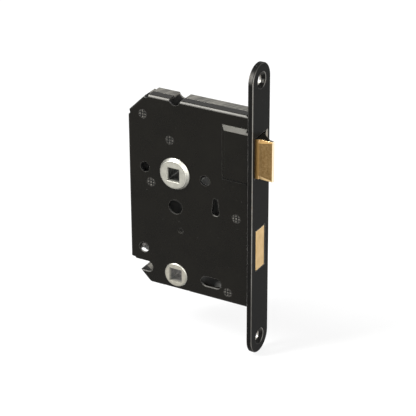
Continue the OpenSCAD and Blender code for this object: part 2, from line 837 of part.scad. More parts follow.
module privacy_hub() {
    color(cast_zinc)
        translate([hub_x, 0, wc_z])
            difference() {
                union() {
                    collars(wc_hub_d / 2, in_y - 0.1, half_t + wc_hub_rise, [0.3, wc_hub_rise], 0.3);
                    rod(0, 0, neck_r, -in_y, lobe_y[0] + 1);
                    rod(0, 0, wc_hub_d / 2, lobe_y[0], lobe_y[1]);
                    through(lobe_y[0], lobe_y[1])
                        rotate(45) {
                            translate([-lobe_r, 0])
                                square([2 * lobe_r, crank_r]);
                            translate([0, crank_r])
                                circle(lobe_r);
                        }
                    // Four flats that the detent spring drops on
                    through(lobe_y[1] - 1, works_y)
                        intersection() {
                            square(2 * cam_half, center = true);
                            circle(cam_corner_r);
                        }
                    rod(0, 0, neck_r, works_y - 1, in_y);
                }
                socket();
                rotate([0, -45, 0])
                    rod(0, crank_r, crank_pin_r + pin_gap, lobe_y[0] - 1, lobe_y[1] - 0.4);
            }
}

module privacy_drive_pin() {
    color(zinc_steel)
        translate([hub_x, 0, wc_z])
            rotate([0, -45, 0])
                rod(0, crank_r, crank_pin_r, -works_y + 0.1, lobe_y[1] - 0.45);
}

forend();
forend_studs();
case_body();
case_cover();
case_pillars();
handle_follower();
follower_spring();
latch_head();
latch_tail();
latch_rivet();
latch_drive_pin();
latch_spring();
latch_spring_washer();
latch_bridge();
deadbolt_head();
deadbolt_tail();
deadbolt_rivets();
privacy_hub();
privacy_drive_pin();
detent_spring();
detent_spring_post();
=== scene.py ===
import math
import bpy
import bmesh
from mathutils import Matrix, Vector


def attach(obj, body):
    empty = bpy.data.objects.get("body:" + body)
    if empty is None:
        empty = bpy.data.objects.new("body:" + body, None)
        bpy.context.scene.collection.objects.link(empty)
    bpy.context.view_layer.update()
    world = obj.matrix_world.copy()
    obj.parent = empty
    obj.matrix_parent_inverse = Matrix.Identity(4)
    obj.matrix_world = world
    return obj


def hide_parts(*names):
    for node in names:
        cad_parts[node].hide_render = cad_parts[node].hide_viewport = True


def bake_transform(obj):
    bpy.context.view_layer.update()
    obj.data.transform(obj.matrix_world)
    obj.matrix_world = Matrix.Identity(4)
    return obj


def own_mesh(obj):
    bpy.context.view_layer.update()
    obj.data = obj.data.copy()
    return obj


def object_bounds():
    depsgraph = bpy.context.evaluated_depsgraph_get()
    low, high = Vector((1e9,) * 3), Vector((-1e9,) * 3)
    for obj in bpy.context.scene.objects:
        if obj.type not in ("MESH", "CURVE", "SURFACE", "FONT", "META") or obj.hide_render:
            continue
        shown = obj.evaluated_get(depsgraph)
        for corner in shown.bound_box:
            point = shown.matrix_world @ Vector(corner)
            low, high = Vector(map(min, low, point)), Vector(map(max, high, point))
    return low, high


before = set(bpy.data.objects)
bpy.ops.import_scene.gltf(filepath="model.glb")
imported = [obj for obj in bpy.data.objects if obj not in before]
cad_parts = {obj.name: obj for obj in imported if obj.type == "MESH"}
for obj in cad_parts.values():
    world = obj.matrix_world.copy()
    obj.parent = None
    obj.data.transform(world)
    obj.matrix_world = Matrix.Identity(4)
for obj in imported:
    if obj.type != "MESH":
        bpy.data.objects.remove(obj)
cad_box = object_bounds()
scene = bpy.context.scene
scene.view_settings.view_transform = "Standard"

# Places on the lock in millimetres, as in the part's source: the two spindles, the middles of the latch and
# of the screw holes, the outside of the case's back wall, and the near plate's outer face
MM = 0.001
SPINDLE_X, HANDLE_Z, PRIVACY_Z = -50.0, 14.5, -48.5
LATCH_Z, SCREW_Z = 34.7, 77.4
BACK_X, PLATE_FACE = -79.5, -6.25

# Camera at the photograph's angle, set off from the forend's face at the handle's height
IMAGE_WIDTH, SENSOR_WIDTH, FOCAL_PIXELS = 416, 36, 1828.15
AZIMUTH, ELEVATION, ROLL = math.radians(29.281), math.radians(26.369), math.radians(-0.235)
DISTANCE, SHIFT_RIGHT, SHIFT_UP = 0.98525, -0.028456, -0.010562

aim = Vector((0, 0, HANDLE_Z * MM))
back = Vector((math.sin(AZIMUTH) * math.cos(ELEVATION), -math.cos(AZIMUTH) * math.cos(ELEVATION),
               math.sin(ELEVATION)))
level = Vector((0, 0, 1)).cross(back).normalized()
upright = back.cross(level)
right = math.cos(ROLL) * level + math.sin(ROLL) * upright
up = math.cos(ROLL) * upright - math.sin(ROLL) * level

view = bpy.data.cameras.new("view")
view.sensor_width = SENSOR_WIDTH
view.lens = FOCAL_PIXELS / IMAGE_WIDTH * SENSOR_WIDTH
view.clip_start, view.clip_end = 0.05, 50
camera = bpy.data.objects.new("view", view)
basis = Matrix((right, up, back)).transposed().to_4x4()
stand = aim + back * DISTANCE + right * SHIFT_RIGHT + up * SHIFT_UP
camera.matrix_world = Matrix.Translation(stand) @ basis
scene.collection.objects.link(camera)
scene.camera = camera


class Nodes:
    """A short way to write the nodes of a material or of the world"""

    def __init__(self, owner):
        owner.use_nodes = True
        self.owner = owner
        self.tree = owner.node_tree

    def add(self, kind, **values):
        node = self.tree.nodes.new(kind)
        for key, value in values.items():
            setattr(node, key, value)
        return node

    def feed(self, socket, value):
        """Gives a socket a number, a colour or what another node puts out"""
        if isinstance(value, tuple):
            socket.default_value = (*value, 1)
        elif isinstance(value, (int, float)):
            socket.default_value = value
        else:
            self.tree.links.new(value, socket)

    def maths(self, kind, *values):
        node = self.add("ShaderNodeMath", operation=kind)
        for socket, value in zip(node.inputs, values):
            self.feed(socket, value)
        return node.outputs[0]

    def fold(self, kind, values):
        total = values[0]
        for value in values[1:]:
            total = self.maths(kind, total, value)
        return total

    def times(self, *values):
        return self.fold("MULTIPLY", values)

    def plus(self, *values):
        return self.fold("ADD", values)

    def most(self, *values):
        return self.fold("MAXIMUM", values)

    def show_white(self, usual, white, output, share=1.0):
        """Lights others as usual, but shows itself white by a share, both straight and mirrored in metal"""
        path = self.add("ShaderNodeLightPath").outputs
        seen = self.most(path["Is Camera Ray"], path["Is Glossy Ray"], path["Is Transmission Ray"])
        join = self.add("ShaderNodeMixShader")
        parts = (self.times(seen, share), usual.outputs[0], white.outputs[0])
        for socket, value in zip(join.inputs, parts):
            self.feed(socket, value)
        self.feed(self.tree.nodes[output].inputs["Surface"], join.outputs[0])


class Surface(Nodes):
    """A material's nodes, with all sizes in millimetres. x, y and z are a point's place in the shared
    frame, taken at rest, and nx, ny and nz are the way that the surface faces there"""

    def __init__(self, name):
        super().__init__(bpy.data.materials.new(name))
        self.bsdf = self.tree.nodes["Principled BSDF"]
        coords = self.add("ShaderNodeTexCoord").outputs
        in_mm = self.add("ShaderNodeVectorMath", operation="SCALE")
        self.feed(in_mm.inputs["Scale"], 1 / MM)
        self.feed(in_mm.inputs[0], coords["Object"])
        self.place = in_mm.outputs[0]
        self.x, self.y, self.z = self.split(self.place)
        self.nx, self.ny, self.nz = self.split(coords["Normal"])

    def split(self, vector):
        node = self.add("ShaderNodeSeparateXYZ")
        self.feed(node.inputs[0], vector)
        return node.outputs

    def turned(self, angles=(0, 0, 0), scale=(1, 1, 1)):
        """The place turned by angles in degrees, then scaled. A small scale draws noise out that way"""
        node = self.add("ShaderNodeMapping", vector_type="TEXTURE")
        node.inputs["Rotation"].default_value = [math.radians(a) for a in angles]
        node.inputs["Scale"].default_value = [1 / s for s in scale]
        self.feed(node.inputs["Vector"], self.place)
        return node.outputs["Vector"]

    def noise(self, size, detail=3, rough=0.5, where=None):
        """Cloudy numbers round 0.5, with spots of about a size"""
        node = self.add("ShaderNodeTexNoise")
        for socket, value in (("Scale", 1 / size), ("Detail", detail), ("Roughness", rough),
                              ("Vector", where or self.place)):
            self.feed(node.inputs[socket], value)
        return node.outputs["Fac"]

    def ramp(self, value, low, high, a=0.0, b=1.0):
        """a up to low, b from high on, and a straight slope in between"""
        node = self.add("ShaderNodeMapRange")
        for socket, number in (("Value", value), ("From Min", low), ("From Max", high),
                               ("To Min", a), ("To Max", b)):
            self.feed(node.inputs[socket], number)
        return node.outputs["Result"]

    def minus(self, a, b):
        return self.maths("SUBTRACT", a, b)

    def size(self, value):
        """A number without its sign"""
        return self.maths("ABSOLUTE", value)

    def above(self, value, limit):
        """1 where value is over limit, otherwise 0"""
        return self.maths("GREATER_THAN", value, limit)

    def below(self, value, limit):
        """1 where value is under limit, otherwise 0"""
        return self.maths("LESS_THAN", value, limit)

    def within(self, value, centre, half):
        """1 where value is within half of centre, otherwise 0"""
        return self.maths("COMPARE", value, centre, half)

    def away(self, a, b):
        """How far a point is from a centre that lies a and b off along two axes"""
        return self.maths("SQRT", self.plus(self.times(a, a), self.times(b, b)))

    def mix(self, factor, a, b):
        """A colour between a and b"""
        # The node's colour sockets come after those for numbers and vectors
        first, second, result = 6, 7, 2
        node = self.add("ShaderNodeMix", data_type="RGBA")
        for socket, value in ((0, factor), (first, a), (second, b)):
            self.feed(node.inputs[socket], value)
        return node.outputs[result]

    def layers(self, colour, *pairs):
        """A colour with others laid over it, each as far as its mask says"""
        for mask, over in pairs:
            colour = self.mix(mask, colour, over)
        return colour

    def blend(self, factor, a, b):
        """A number between a and b"""
        return self.plus(self.times(factor, b), self.times(self.minus(1.0, factor), a))

    def rounded(self, radius):
        """The way that the surface faces, as if its edges were round"""
        bevel = self.add("ShaderNodeBevel", samples=6)
        self.feed(bevel.inputs["Radius"], radius * MM)
        return bevel.outputs["Normal"]

    def edges(self, radius, low=0.02, high=0.35):
        """How near a point is to an edge, from 0 to 1"""
        dot = self.add("ShaderNodeVectorMath", operation="DOT_PRODUCT")
        self.feed(dot.inputs[0], self.rounded(radius))
        self.feed(dot.inputs[1], self.add("ShaderNodeNewGeometry").outputs["Normal"])
        return self.ramp(self.minus(1.0, dot.outputs["Value"]), low, high)

    def bump(self, height, depth, strength, soft):
        """Relief of a depth, on edges rounded by soft"""
        node = self.add("ShaderNodeBump")
        for socket, value in (("Distance", depth * MM), ("Strength", strength), ("Height", height),
                              ("Normal", self.rounded(soft))):
            self.feed(node.inputs[socket], value)
        self.feed(self.bsdf.inputs["Normal"], node.outputs["Normal"])

    def finish(self, colour, rough, metallic, specular=0.5):
        for socket, value in (("Base Color", colour), ("Roughness", rough), ("Metallic", metallic),
                              ("Specular IOR Level", specular)):
            self.feed(self.bsdf.inputs[socket], value)
        return self.owner


def scaled(colour, factor):
    return tuple(min(1, channel * factor) for channel in colour)


def black_coat(name, base, worn, gloss, specular, rub_and_highlight, wear, rub_and_highlight_here=None):
    """Thin satin black coat on steel: fine grain, cloudy gloss, scuffs, specks, and edges worn and
    lightened as a painted edge highlight. rub_and_highlight is how strongly, and rub_and_highlight_here(n)
    where if it isn't everywhere. wear(n, colour) adds what only this piece has, its wear and painted light,
    and returns the colour and how metallic it is"""
    warm_gloss = (1.0, 0.985, 0.95)
    n = Surface(name)
    grain = n.noise(0.35, 2, 0.6)
    cloud = n.noise(14, 4, 0.55)
    scuff = n.noise(5, 6, 0.75, n.turned((0, 35, 0), (1, 1, 0.18)))
    specks = n.noise(1.3, 2, 0.5)
    patchy = n.ramp(n.noise(6, 5, 0.7), 0.3, 0.6, 0.5, 1.0)
    # Edges worn, and lightened as a painted edge highlight
    rubbed_and_highlight = n.times(n.edges(0.42, 0.02, 0.2), patchy, rub_and_highlight)
    if rub_and_highlight_here:
        rubbed_and_highlight = n.times(rubbed_and_highlight, rub_and_highlight_here(n))
    colour = n.mix(n.ramp(cloud, 0.3, 0.7), base, scaled(base, 1.5))
    colour = n.layers(colour, (n.ramp(scuff, 0.66, 0.85, 0, 0.12), worn),
                      (n.ramp(specks, 0.73, 0.8, 0, 0.18), worn), (rubbed_and_highlight, worn))
    colour, metallic = wear(n, colour)
    rough = n.plus(n.ramp(cloud, 0.3, 0.7, gloss - 0.04, gloss + 0.05), n.ramp(scuff, 0.5, 0.8, 0, 0.06))
    n.bump(grain, 0.006, 0.6, 0.25)
    n.feed(n.bsdf.inputs["Specular Tint"], warm_gloss)
    return n.finish(colour, rough, metallic, specular)


def off_forend_and_pad(n):
    """Where the tray's edges are worn and lightened as a painted edge highlight: not beside the forend, and
    not on the pressed pad
    """
    beside_forend, pad_foot = -6.8, PLATE_FACE - 0.1
    return n.times(n.below(n.x, beside_forend), n.above(n.y, pad_foot))


def tray_painted_light(n, colour):
    """Painted light: the cut walls of the openings lighter where they face up, a painted highlight along
    the top bend, and a painted highlight on the upper slope of the pad
    """
    cut_black, cut_lit_grey = (0.004, 0.004, 0.004), (0.136, 0.132, 0.12)
    bend_highlight_grey, slope_highlight_grey = (0.153, 0.1485, 0.135), (0.03, 0.028, 0.02)
    bend_foot, pad_top = 56, 55
    # The stretches that hold the openings, as middle and half
    across, along_x, along_z = (PLATE_FACE + 0.5, 0.47), (-41.5, 37.3), (0.35, 57.15)
    # The stretches over which a mark fades or grows
    low_fade, foot_fade, pad_fade = (6, 9), (-16, -13), (-24, -16)
    front_part = -30

    # A cut wall doesn't face as the plate does. Where it faces up it is painted lighter as painted light,
    # most of all low in the case
    cut = n.times(n.below(n.size(n.ny), 0.3), n.within(n.y, *across), n.within(n.x, *along_x),
                  n.within(n.z, *along_z))
    low = n.times(n.ramp(n.z, *low_fade, 1.0, 0.0),
                  n.most(n.ramp(n.z, *foot_fade, 1.0, 0.2), n.above(n.x, front_part)))
    lit_cut = n.mix(n.times(low, n.ramp(n.nz, 0.55, 0.9)), cut_black, cut_lit_grey)

    # Painted highlight: a light line along the top bend
    bend_highlight = n.times(n.ramp(n.nz, 0.22, 0.4), n.ramp(n.nz, 0.84, 0.94, 1.0, 0.0), n.below(n.ny, -0.2),
                       n.above(n.z, bend_foot), n.ramp(n.noise(11, 3, 0.6), 0.3, 0.6, 0.85, 1.0))
    # Painted highlight on the pad's upper slope
    slope_highlight = n.times(n.ramp(n.nz, 0.3, 0.5), n.below(n.ny, -0.5), n.below(n.z, pad_top),
                        n.ramp(n.x, *pad_fade, 0.1, 1.0))
    colour = n.layers(colour, (cut, lit_cut), (bend_highlight, bend_highlight_grey), (slope_highlight, slope_highlight_grey))
    return colour, 0.0


def forend_wear_and_highlights(n, colour):
    """Bare steel on the rounded front edge and on the upper shoulder, worn and also a painted highlight,
    and bare steel in the countersinks and bores of the screws. The wall of the latch's opening that faces
    the near side is painted light grey and dull, as painted light"""
    # The first colour is painted light for a wall of the latch's opening
    lit_grey, steel, brown = (0.4, 0.4, 0.385), (0.32, 0.31, 0.285), (0.27, 0.2, 0.14)
    bore_r, cone_r, clear_r = 2.9, 4.7, 5.2
    edge_depth, shoulder_depth, shoulder_foot = -0.75, -0.6, 50
    # The stretches over which the front edge's wear and painted highlight fade at both ends and grow from
    # the foot
    end_fade, foot_fade = (79, 85.5), (-55, -15)
    # The latch opening's wall that faces the near side, painted light, as middle and half
    wall_x, wall_y, wall_z = (-0.6, 0.5), (7.5, 0.15), (LATCH_Z, 12.9)
    above_screw = n.minus(n.z, n.times(n.maths("SIGN", n.z), SCREW_Z))
    reach = n.away(n.y, above_screw)

    # The front edge: worn bare steel, and a painted highlight
    front_edge_wear_and_highlight = n.times(n.ramp(n.nx, 0.45, 0.7), n.ramp(n.nx, 0.93, 0.995, 1.0, 0.0),
                         n.above(n.x, edge_depth), n.ramp(n.noise(9, 4, 0.7), 0.3, 0.6, 0.6, 0.95),
                         n.ramp(n.size(n.z), *end_fade, 1.0, 0.1), n.ramp(n.z, *foot_fade, 0.4, 1.0),
                         n.above(reach, clear_r))
    # The upper shoulder: worn bare steel, and a painted highlight
    shoulder = n.times(n.ramp(n.nz, 0.08, 0.3), n.ramp(n.nz, 0.45, 0.75, 1.0, 0.0), n.below(n.ny, -0.5),
                       n.below(n.x, shoulder_depth), n.above(n.z, shoulder_foot), 0.24)
    rim = n.times(n.ramp(reach, 4.35, 4.65), n.below(reach, 4.85), n.ramp(n.y, 1, 3, 0.0, 0.5))
    upper_cone = n.times(n.below(reach, cone_r), n.below(n.x, -0.1), n.ramp(above_screw, 0.2, 2.2),
                         n.ramp(n.noise(2.6, 4, 0.6), 0.36, 0.56, 0.0, 0.1))
    bore = n.times(n.below(reach, bore_r), n.below(n.nx, 0.3))
    bare = n.most(front_edge_wear_and_highlight, rim, shoulder, upper_cone, bore)

    # Painted light on the wall of the latch's opening that faces the near side
    lit_latch_wall = n.times(n.within(n.x, *wall_x), n.within(n.y, *wall_y), n.within(n.z, *wall_z))
    bare_steel = n.mix(n.ramp(n.noise(1.5, 4, 0.7), 0.56, 0.72), steel, brown)
    return n.layers(colour, (lit_latch_wall, lit_grey), (bare, bare_steel)), bare


def rolled_zinc(name, tone, streak, gloss=0.4):
    """Galvanised sheet with fine slanted rolling streaks and grey clouds. The plate's inner face is dull
    and oily, with two painted pools of light, which show through the front rose hole and the oblong slot,
    and a painted highlight on the part of the rose pool's rim toward the case's back"""
    oily, rose_light_grey = (0.15, 0.15, 0.145), (0.3, 0.3, 0.29)
    slot_light_white, highlight_tone = (0.95, 0.94, 0.9), (0.8, 0.79, 0.76)
    rose_x, rose_z, rose_r = -36.2, 7.0, 3.7
    slot_x, slot_z, slot_r = -26.6, -57.2, 5.6
    inner_face = 5.4
    plate_slant, wall_slant = (0, 38, 0), (0, 0, -22)
    n = Surface(name)

    on_wall = n.ramp(n.size(n.nz), 0.6, 0.8)
    lines = n.blend(on_wall, n.noise(0.9, 4, 0.7, n.turned(plate_slant, (1, 0.2, 0.05))),
                    n.noise(1.1, 4, 0.7, n.turned(wall_slant, (1, 0.04, 1))))
    broad = n.blend(on_wall, n.noise(3, 3, 0.6, n.turned(plate_slant, (1, 0.2, 0.08))),
                    n.noise(2.6, 2, 0.5, n.turned(wall_slant, (1, 0.04, 1))))
    cloud = n.noise(7, 5, 0.6)
    light = n.plus(n.times(n.ramp(lines, 0.4, 0.6, -streak, streak), n.ramp(on_wall, 0, 1, 0.45, 1.0)),
                   n.ramp(cloud, 0.3, 0.7, -0.05, 0.05), n.ramp(broad, 0.35, 0.65, -0.08, 0.08))
    colour = n.mix(n.ramp(light, -0.3, 0.3), scaled(tone, 1 - 2 * streak), scaled(tone, 1 + 2 * streak))

    inside = n.times(n.below(n.y, inner_face), n.above(n.y, 0.0), n.above(n.size(n.ny), 0.9))
    from_rose = n.minus(n.x, rose_x)
    rose_reach = n.away(from_rose, n.minus(n.z, rose_z))
    slot_reach = n.away(n.minus(n.x, slot_x), n.minus(n.z, slot_z))
    # Painted light: pools of light on the inner face, where it shows through the rose hole and the slot
    rose_light_patch = n.times(inside, n.ramp(rose_reach, rose_r - 0.3, rose_r, 1.0, 0.0))
    slot_light_patch = n.times(inside, n.ramp(slot_reach, slot_r - 3.2, slot_r, 1.0, 0.0))
    # Painted highlight on the rim of the rose hole's pool of light, toward the back
    rose_rim_highlight = n.times(inside, n.ramp(rose_reach, rose_r - 0.5, rose_r - 0.35),
                        n.ramp(rose_reach, rose_r - 0.1, rose_r, 1.0, 0.0), n.below(from_rose, -1.2))
    colour = n.layers(colour, (inside, oily), (rose_light_patch, rose_light_grey), (rose_rim_highlight, highlight_tone),
                      (slot_light_patch, slot_light_white))

    rough = n.blend(inside, n.ramp(lines, 0.3, 0.7, gloss - 0.06, gloss + 0.1), 0.6)
    n.bump(n.plus(n.times(lines, 0.7), n.times(n.noise(0.25, 2), 0.3)), 0.012, 0.5, 0.15)
    return n.finish(colour, rough, n.blend(n.most(rose_light_patch, slot_light_patch), 0.85, 0.05))


def cast_zinc(name, face, flank, gloss, centre_z, front, groove_r, socket_shade_tones, mouth_painted_light, soft):
    """Tumbled zinc casting: soft pits, turned rings and a groove on the face, lighter edges, a square
    socket with painted light and shade. face and flank are colours, front is the face's y, groove_r is the
    groove's radius and soft rounds the edges. mouth_painted_light says how light the socket's walls are
    painted
    at its mouth, against the face: first those that don't face the forend, then the one that does.
    socket_shade_tones are the colours of the painted shade further in"""
    half_socket, mouth_depth, full_shade_depth = 4.05, 1.0, 2.6
    stain = (0.34, 0.23, 0.12)
    n = Surface(name)
    pits = n.noise(0.9, 4, 0.6)
    cloud = n.noise(2.6, 5, 0.65)
    dirt = n.noise(0.7, 4, 0.7)

    from_x, from_z = n.minus(n.x, SPINDLE_X), n.minus(n.z, centre_z)
    reach = n.away(from_x, from_z)
    rings = n.maths("SINE", n.plus(n.times(reach, 14.0), n.times(cloud, 5.0)))
    groove = n.ramp(n.size(n.minus(reach, groove_r)), 0.1, 0.35, 0.45, 0.0)
    turned_face = n.layers(n.mix(n.ramp(cloud, 0.32, 0.68), scaled(face, 0.78), scaled(face, 1.05)),
                           (n.ramp(rings, -1, 1, 0, 0.22), scaled(face, 0.6)), (groove, scaled(face, 0.45)))
    cast_flank = n.mix(n.ramp(cloud, 0.3, 0.7), scaled(flank, 0.85), flank)
    colour = n.layers(n.mix(n.below(n.ny, -0.97), cast_flank, turned_face),
                      (n.ramp(dirt, 0.66, 0.74, 0, 0.5), stain),
                      (n.times(n.edges(0.35), 0.5), scaled(face, 1.35)))

    socket = n.times(n.within(from_x, 0, half_socket), n.within(from_z, 0, half_socket))
    # Painted shade: the socket darkens from its mouth inwards, in streaks
    socket_shade = n.ramp(n.y, front + mouth_depth, front + full_shade_depth)
    streaks = n.mix(n.ramp(n.noise(1.6, 4, 0.7), 0.4, 0.62), *socket_shade_tones)
    # Painted light on the mouth's walls, the wall that faces the forend lighter than the others
    lit_mouth_wall = n.mix(n.above(n.nx, 0.5), *(scaled(face, factor) for factor in mouth_painted_light))
    colour = n.mix(socket, colour, n.mix(socket_shade, lit_mouth_wall, streaks))
    mouth = n.times(socket, n.minus(1.0, socket_shade))

    rough = n.plus(n.ramp(pits, 0.3, 0.7, gloss, gloss + 0.14), n.times(socket, 0.15))
    n.bump(n.plus(pits, n.times(rings, 0.12)), 0.02, 0.6, soft)
    return n.finish(colour, rough, n.minus(1.0, n.times(mouth, 0.8)))


def satin_brass(name):
    """Drawn brass. The near side face is brushed upright and darker, and painted light beside the forend.
    The top and bottom are glossy and painted dark, a painted reflection. The facets beside the near face
    are painted light, a painted highlight, the upper one painted darker, painted shade; the tip of the
    latch and the edges are worn and painted light, a painted highlight"""
    gold_deep, gold = (0.52, 0.33, 0.12), (0.7, 0.49, 0.23)
    gold_pale, gold_dark = (0.76, 0.57, 0.32), (0.42, 0.27, 0.1)
    # Colours of the darker near face
    near_dark, near_brown, near_line = (0.105, 0.061, 0.021), (0.215, 0.132, 0.051), (0.18, 0.108, 0.043)
    blotch, speck, dirt = (0.3, 0.2, 0.09), (0.5, 0.37, 0.19), (0.3, 0.2, 0.1)
    # Painted highlights: two colours for the facets beside the near face, and one for the edges
    facet_light_deep, facet_light_pale, highlight_tone = (0.7, 0.48, 0.22), (0.82, 0.6, 0.32), (0.97, 0.84, 0.6)
    # Painted shade for the upper facet, and painted light for the near face beside the forend
    upper_facet_shade, root_light_tone = (0.5, 0.31, 0.12), (0.52, 0.3, 0.1)
    # A painted dark reflection for the top and bottom, and the worn tip's painted highlight
    reflection_dark, tip_wear_and_highlight = (0.15, 0.125, 0.09), (0.9, 0.79, 0.6)
    root_fade, tip = (1.0, 2.8), 10.1
    n = Surface(name)
    lines = n.noise(0.35, 4, 0.7, n.turned(scale=(1, 1, 0.025)))
    cross = n.noise(0.5, 3, 0.7, n.turned(scale=(0.05, 1, 1)))
    cloud = n.noise(6, 5, 0.6)
    specks = n.noise(0.6, 4, 0.7)
    blotches = n.noise(0.9, 5, 0.75)

    clean = n.layers(n.mix(n.ramp(cloud, 0.3, 0.72), gold_deep, gold),
                     (n.ramp(lines, 0.35, 0.7, 0, 0.35), gold_pale),
                     (n.ramp(lines, 0.36, 0.5, 0.5, 0), gold_dark))
    near_darker = n.layers(n.mix(n.ramp(lines, 0.35, 0.65), near_dark, near_brown),
                         (n.ramp(cross, 0.4, 0.7, 0, 0.4), near_line),
                         (n.ramp(blotches, 0.42, 0.66, 0, 0.75), blotch),
                         (n.ramp(specks, 0.62, 0.75, 0, 0.6), speck))
    rubbed_and_highlight = n.mix(n.ramp(cloud, 0.3, 0.7), facet_light_deep, facet_light_pale)

    near_face = n.below(n.ny, -0.95)
    # Facets beside the near face: a painted highlight on both, painted shade on the upper one
    facet = n.times(n.below(n.ny, -0.5), n.ramp(n.size(n.nz), 0.15, 0.25))
    upper_facet = n.times(facet, n.above(n.nz, 0.0))
    # Painted light on the near face beside the forend, against the shadow of the forend's opening
    root_lit = n.times(near_face, n.ramp(n.x, *root_fade, 0.9, 0.0))
    # Top and bottom: glossy, and painted dark as a painted reflection
    top_or_bottom = n.above(n.size(n.nz), 0.95)
    # Layers: painted highlights on the facets, painted shade on the upper facet, painted light beside the
    # forend, a painted dark reflection on top and bottom, the worn tip with a painted highlight, dirt, and
    # worn edges with a painted highlight
    colour = n.layers(n.mix(near_face, clean, near_darker), (facet, rubbed_and_highlight), (upper_facet, upper_facet_shade),
                      (root_lit, root_light_tone), (top_or_bottom, reflection_dark), (n.above(n.x, tip), tip_wear_and_highlight),
                      (n.ramp(specks, 0.7, 0.8, 0, 0.35), dirt), (n.times(n.edges(0.25), 0.75), highlight_tone))
    rough = n.blend(top_or_bottom, n.ramp(lines, 0.3, 0.7, 0.3, 0.44), 0.12)
    n.bump(n.plus(n.times(lines, 0.8), n.times(specks, 0.2)), 0.01, 0.5, 0.2)
    return n.finish(colour, rough, 1.0)


def plated(name, tone, gloss=0.32):
    """Zinc plated or oiled steel: fine grain, cloudy gloss and lighter edges"""
    n = Surface(name)
    cloud = n.noise(3, 4, 0.6)
    colour = n.mix(n.ramp(cloud, 0.3, 0.7), scaled(tone, 0.75), tone)
    colour = n.mix(n.times(n.edges(0.2), 0.4), colour, scaled(tone, 1.25))
    n.bump(n.noise(0.3, 2), 0.008, 0.5, 0.15)
    return n.finish(colour, n.ramp(cloud, 0.3, 0.7, gloss - 0.06, gloss + 0.1), 0.95)


def staked_ends(name):
    """Pillars: black between the plates, with worn points on the squares of their staked ends"""
    # A pillar's x and z, and how worn it is
    pillars = ((-69.8, 46.2, 1.0), (-52.9, 34.0, 0.5), (-65.2, 6.1, 1.0),
               (-11.6, -4.0, 1.0), (-16.8, -51.1, 1.0))
    pitch = 5 / 3
    worn_to, fade_to, end_radius = 1.9, 2.4, 3.0
    black, dark_steel, steel = (0.006, 0.006, 0.0055), (0.05, 0.048, 0.042), (0.21, 0.197, 0.172)
    n = Surface(name)
    proud = n.above(n.size(n.y), -PLATE_FACE + 0.01)
    points = []
    for centre_x, centre_z, wear in pillars:
        reach = n.away(n.minus(n.x, centre_x), n.minus(n.z, centre_z))
        point = n.times(n.ramp(reach, worn_to, fade_to, wear, 0.15), n.below(reach, end_radius))
        for value, centre in ((n.x, centre_x), (n.z, centre_z)):
            from_groove = n.maths("PINGPONG", n.minus(value, centre - pitch / 2), pitch / 2)
            point = n.times(point, n.ramp(from_groove, 0.34, 0.54))
        points.append(point)
    patchy = n.ramp(n.noise(1.3, 4, 0.65), 0.34, 0.54, 0.25, 1.0)
    worn = n.times(n.plus(n.times(n.most(*points), 0.85), 0.12), patchy)
    bare = n.mix(n.ramp(n.noise(0.5, 3), 0.35, 0.65), dark_steel, steel)
    colour = n.mix(n.times(proud, worn), black, bare)
    n.bump(n.noise(0.4, 3), 0.02, 0.6, 0.12)
    return n.finish(colour, n.ramp(n.noise(0.8, 3), 0.3, 0.7, 0.34, 0.5), n.times(proud, worn, 0.7), 0.2)


brass = satin_brass("brass")
plated_steel = plated("plated_steel", (0.5, 0.49, 0.46))
spring_steel = plated("spring_steel", (0.3, 0.3, 0.3), 0.28)
finishes = {
    "forend": black_coat("forend_black", (0.0048, 0.0047, 0.0044), (0.3, 0.29, 0.275), gloss=0.34,
                         specular=0.02, rub_and_highlight=0.9, wear=forend_wear_and_highlights),
    "case_body": black_coat("tray_black", (0.0022, 0.0019, 0.0012), (0.17, 0.165, 0.15), gloss=0.27,
                            specular=0.12, rub_and_highlight=0.6, wear=tray_painted_light, rub_and_highlight_here=off_forend_and_pad),
    "case_pillars": staked_ends("stakes"),
    "case_cover": rolled_zinc("cover_zinc", (0.132, 0.126, 0.11), streak=0.26),
    "handle_follower": cast_zinc("hub_zinc", (0.49, 0.48, 0.42), (0.7, 0.69, 0.62), gloss=0.3,
                                 centre_z=HANDLE_Z, front=-8.25, groove_r=7.7,
                                 socket_shade_tones=((0.03, 0.031, 0.03), (0.16, 0.16, 0.15)),
                                 mouth_painted_light=(0.36, 1.15), soft=0.8),
    "privacy_hub": cast_zinc("privacy_zinc", (0.46, 0.44, 0.37), (0.45, 0.44, 0.385), gloss=0.34,
                             centre_z=PRIVACY_Z, front=-6.85, groove_r=6.4,
                             socket_shade_tones=((0.2, 0.2, 0.195), (0.34, 0.33, 0.31)),
                             mouth_painted_light=(0.42, 0.55), soft=0.3),
    "latch_head": brass,
    "deadbolt_head": brass,
    "detent_spring_post": plated("post_steel", (0.26, 0.25, 0.235), 0.5),
}
for name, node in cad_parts.items():
    node.data.materials.clear()
    node.data.materials.append(finishes.get(name, plated_steel))


